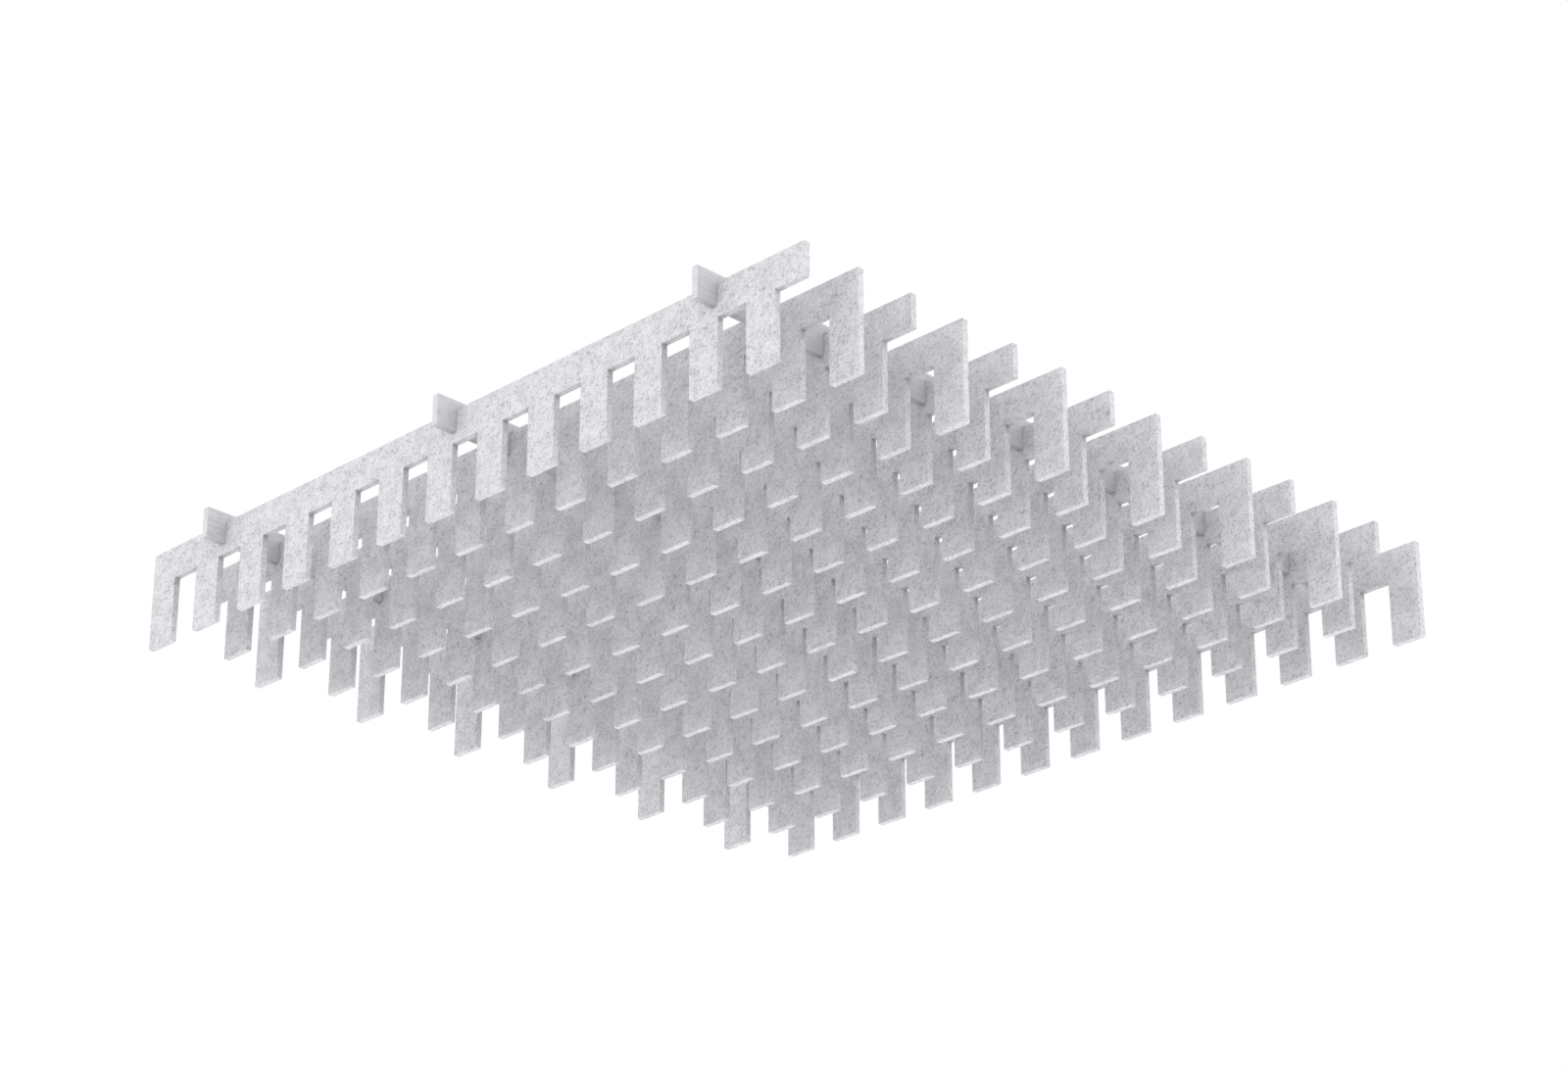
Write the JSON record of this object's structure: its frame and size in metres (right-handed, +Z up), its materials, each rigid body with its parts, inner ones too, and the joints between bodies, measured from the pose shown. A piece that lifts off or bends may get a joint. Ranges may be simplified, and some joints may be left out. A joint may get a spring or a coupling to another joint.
{
  "type": "hanging acoustic baffle panel",
  "caption": "Hanging acoustic baffle: parallel comb-shaped felt fins on edge, their square teeth hanging down, tied by cross ribs half-lapped into their top edges.",
  "frame": {"origin": "middle of the middle cross rib's top edge, on the line that the module hangs from", "axes": "+X along the fins, towards the bar-only end of fin 1; +Y across the fins, from fin 1 to fin 14; +Z up, against the hanging teeth"},
  "size_m": [1.2194, 1.221, 0.1478],
  "materials": {
    "fin_felt": "needled polyester felt board, light cool grey with short darker marled fibres, matte",
    "rib_felt": "the same felt board, calmer, with fine streaks along the strip, matte"
  },
  "bodies": {
    "root": {"fin_01": "fin_felt", "fin_02": "fin_felt", "fin_03": "fin_felt", "fin_04": "fin_felt", "fin_05": "fin_felt", "fin_06": "fin_felt", "fin_07": "fin_felt", "fin_08": "fin_felt", "fin_09": "fin_felt", "fin_10": "fin_felt", "fin_11": "fin_felt", "fin_12": "fin_felt", "fin_13": "fin_felt", "fin_14": "fin_felt", "rib_1": "rib_felt", "rib_2": "rib_felt", "rib_3": "rib_felt"}
  },
  "joints": []
}
